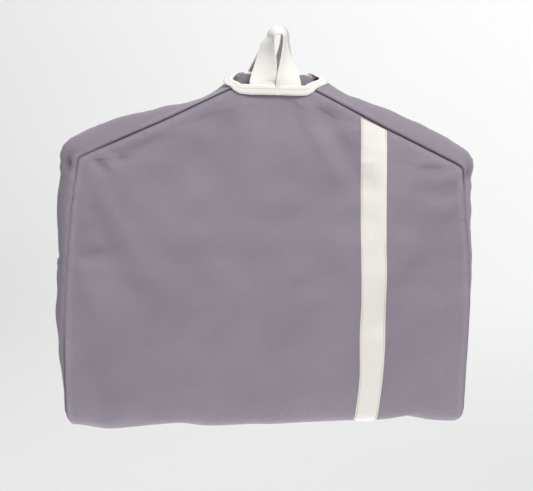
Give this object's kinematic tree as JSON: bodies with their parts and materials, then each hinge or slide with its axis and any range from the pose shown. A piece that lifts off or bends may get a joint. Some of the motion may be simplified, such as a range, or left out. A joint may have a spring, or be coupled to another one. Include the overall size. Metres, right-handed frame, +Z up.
{
  "type": "garment bag",
  "caption": "Canvas garment bag folded in half, with gusseted sides, a bound hanger opening, a coil zip along the inside, a webbing stripe and handle loops that hang on one hook.",
  "frame": {"origin": "the hanging point: the underside of the tops of the two handle loops, midway between them, where a hook goes", "axes": "+Z up, +X to the right across the bag as seen from the front, -Y towards the viewer of the front half's outer panel"},
  "size_m": [0.62, 0.109, 0.5799],
  "materials": {
    "canvas": "matte plain-weave cotton canvas",
    "webbing": "matte ribbed cotton webbing",
    "zip_tape": "matte woven tape",
    "zip_coil": "satin nylon coil",
    "zip_metal": "nickel plate"
  },
  "bodies": {
    "front_half": {"front_panel": "canvas", "front_inner_panel_right": "canvas", "front_shoulder_gusset_right": "canvas", "front_side_gusset_right": "canvas", "front_inner_panel_left": "canvas", "front_shoulder_gusset_left": "canvas", "front_side_gusset_left": "canvas", "front_stripe": "webbing", "zip_tape_front_right": "zip_tape", "zip_coil_front_right": "zip_coil", "zip_tape_front_left": "zip_tape", "zip_coil_front_left": "zip_coil", "neck_binding": "webbing", "zip_top_stop": "zip_metal", "fold_wrap": "canvas", "fold_stripe": "webbing", "fold_gusset_right": "canvas", "fold_gusset_left": "canvas"},
    "rear_half": {"rear_panel": "canvas", "rear_inner_panel_right": "canvas", "rear_shoulder_gusset_right": "canvas", "rear_side_gusset_right": "canvas", "rear_inner_panel_left": "canvas", "rear_shoulder_gusset_left": "canvas", "rear_side_gusset_left": "canvas", "rear_stripe": "webbing", "zip_tape_rear_right": "zip_tape", "zip_coil_rear_right": "zip_coil", "zip_tape_rear_left": "zip_tape", "zip_coil_rear_left": "zip_coil", "rear_end_gusset": "canvas", "rear_end_band": "webbing", "zip_bottom_stop": "zip_metal", "zip_end_tab": "canvas"},
    "front_handle": {"front_handle": "webbing"},
    "rear_handle": {"rear_handle": "webbing"},
    "zip_slider": {"zip_slider": "zip_metal"},
    "zip_pull": {"zip_pull": "zip_metal"}
  },
  "joints": [
    {"name": "bag_fold", "type": "hinge", "parent": "front_half", "child": "rear_half", "pos_m": [0, 0, -0.556], "axis": [-1, 0, 0], "range_deg": [0, 178], "deforming": ["fold_wrap", "fold_stripe", "fold_gusset_right", "fold_gusset_left"]},
    {"name": "front_handle_swing", "type": "hinge", "parent": "front_half", "child": "front_handle", "pos_m": [0, -0.0458, -0.077], "axis": [1, 0, 0], "range_deg": [0, 150]},
    {"name": "rear_handle_swing", "type": "hinge", "parent": "rear_half", "child": "rear_handle", "pos_m": [0, 0.0458, -0.077], "axis": [-1, 0, 0], "range_deg": [0, 150]},
    {"name": "zip_slide", "type": "slide", "parent": "front_half", "child": "zip_slider", "axis": [0, 0, -1], "range_m": [0, 0.355]},
    {"name": "zip_pull_swing", "type": "hinge", "parent": "zip_slider", "child": "zip_pull", "pos_m": [0, -0.015, -0.113], "axis": [1, 0, 0], "range_deg": [0, 170]}
  ]
}
